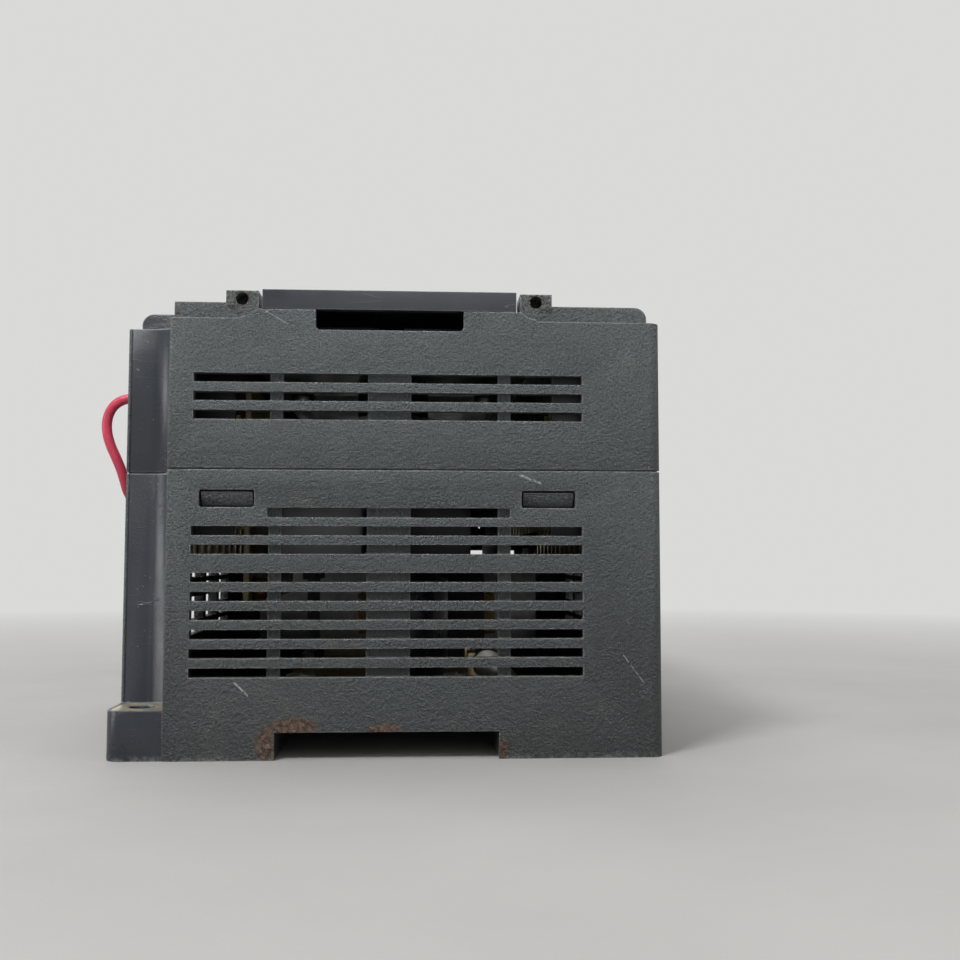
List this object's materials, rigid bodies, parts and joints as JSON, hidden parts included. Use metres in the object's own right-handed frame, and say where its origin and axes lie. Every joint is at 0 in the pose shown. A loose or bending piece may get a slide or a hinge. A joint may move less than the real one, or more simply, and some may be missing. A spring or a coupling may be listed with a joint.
{
  "type": "programmable controller module",
  "caption": "Compact brick controller module with vented two-part case, screw terminal rows, rail groove with sprung latches, hinged flaps and a short jumper wire.",
  "frame": {"origin": "centre of the rear face, on the surface the module lies on", "axes": "+Z from the rear face to the front cover, +Y along the rail, +X towards the side with the rail latches"},
  "size_m": [0.1044, 0.13, 0.0764],
  "materials": {
    "case_plastic": "fine spark-eroded texture, dusty and lightly worn",
    "cover_plastic": "satin",
    "pin_steel": "bright drawn wire",
    "plate_film": "matt film",
    "lens_plastic": "clear smoked",
    "terminal_plastic": "satin",
    "screw_steel": "zinc plated",
    "contact_brass": "tinned brass",
    "marker_plastic": "matt",
    "wire_pvc": "satin PVC",
    "lug_sleeve": "satin PVC",
    "green_laminate": "solder-masked glass laminate",
    "tan_laminate": "bare laminate edge",
    "black_plastic": "moulded",
    "lamp_resin": "clear resin",
    "capacitor_sleeve": "shrunk sleeve",
    "grey_resin": "moulded",
    "blue_resin": "dipped",
    "ferrite": "sintered ferrite",
    "copper_wire": "enamelled copper",
    "winding_tape": "polyester tape",
    "fuse_glass": "clear",
    "sink_aluminium": "extruded",
    "white_plastic": "moulded"
  },
  "bodies": {
    "case": {"lower_case": "case_plastic", "upper_case": "case_plastic", "front_cover": "cover_plastic", "extension_flap_pin": "pin_steel", "port_flap_pin": "pin_steel", "name_plate": "plate_film", "lamp_lenses": "lens_plastic", "input_terminal_block": "terminal_plastic", "output_terminal_block": "terminal_plastic", "input_terminal_screws": "screw_steel", "output_terminal_screws": "screw_steel", "input_clamp_plates": "screw_steel", "output_clamp_plates": "screw_steel", "input_terminal_tabs": "contact_brass", "output_terminal_tabs": "contact_brass", "input_marker_strip": "marker_plastic", "output_marker_strip": "marker_plastic", "red_jumper_wire": "wire_pvc", "jumper_lugs": "lug_sleeve", "main_board": "green_laminate", "io_board": "tan_laminate", "power_board": "tan_laminate", "interface_board": "tan_laminate", "board_headers": "black_plastic", "board_screws": "screw_steel", "processor_chip": "black_plastic", "memory_chips": "black_plastic", "status_lamps": "lamp_resin", "backup_capacitor": "capacitor_sleeve", "extension_connector": "black_plastic", "programming_socket": "black_plastic", "relays": "black_plastic", "optocouplers": "black_plastic", "film_capacitors": "grey_resin", "surge_suppressors": "blue_resin", "choke_core": "ferrite", "choke_winding": "copper_wire", "transformer_core": "ferrite", "transformer_winding": "winding_tape", "bulk_capacitors": "capacitor_sleeve", "fuse": "fuse_glass", "fuse_clips": "contact_brass", "heat_sink": "sink_aluminium", "power_transistor": "black_plastic", "run_stop_switch": "white_plastic", "trimmer_bodies": "blue_resin", "latch_spring_near": "pin_steel", "latch_spring_far": "pin_steel"},
    "extension_flap": {"extension_flap": "cover_plastic"},
    "port_flap": {"port_flap": "cover_plastic"},
    "run_stop_lever": {"run_stop_lever": "black_plastic"},
    "trimmer_rotor_a": {"trimmer_rotor_a": "white_plastic"},
    "trimmer_rotor_b": {"trimmer_rotor_b": "white_plastic"},
    "din_latch_near": {"din_latch_near": "black_plastic"},
    "din_latch_far": {"din_latch_far": "black_plastic"}
  },
  "joints": [
    {"name": "extension_flap_hinge", "type": "hinge", "parent": "case", "child": "extension_flap", "pos_m": [0, -0.026, 0.0749], "axis": [-1, 0, 0], "range_deg": [0, 100]},
    {"name": "port_flap_hinge", "type": "hinge", "parent": "case", "child": "port_flap", "pos_m": [0, 0.026, 0.0749], "axis": [1, 0, 0], "range_deg": [0, 100]},
    {"name": "run_stop_slide", "type": "slide", "parent": "case", "child": "run_stop_lever", "axis": [0, -1, 0], "range_m": [0, 0.003]},
    {"name": "trimmer_a_turn", "type": "hinge", "parent": "case", "child": "trimmer_rotor_a", "pos_m": [0.003, 0.039, 0.068], "axis": [0, 0, 1], "range_deg": [-135, 135]},
    {"name": "trimmer_b_turn", "type": "hinge", "parent": "case", "child": "trimmer_rotor_b", "pos_m": [0.01, 0.039, 0.068], "axis": [0, 0, 1], "range_deg": [-135, 135]},
    {"name": "latch_near_slide", "type": "slide", "parent": "case", "child": "din_latch_near", "axis": [1, 0, 0], "range_m": [0, 0.004], "stiffness_N_per_m": 500, "springref_m": -0.001, "deforming": ["latch_spring_near"]},
    {"name": "latch_far_slide", "type": "slide", "parent": "case", "child": "din_latch_far", "axis": [1, 0, 0], "range_m": [0, 0.004], "stiffness_N_per_m": 500, "springref_m": -0.001, "deforming": ["latch_spring_far"]}
  ]
}
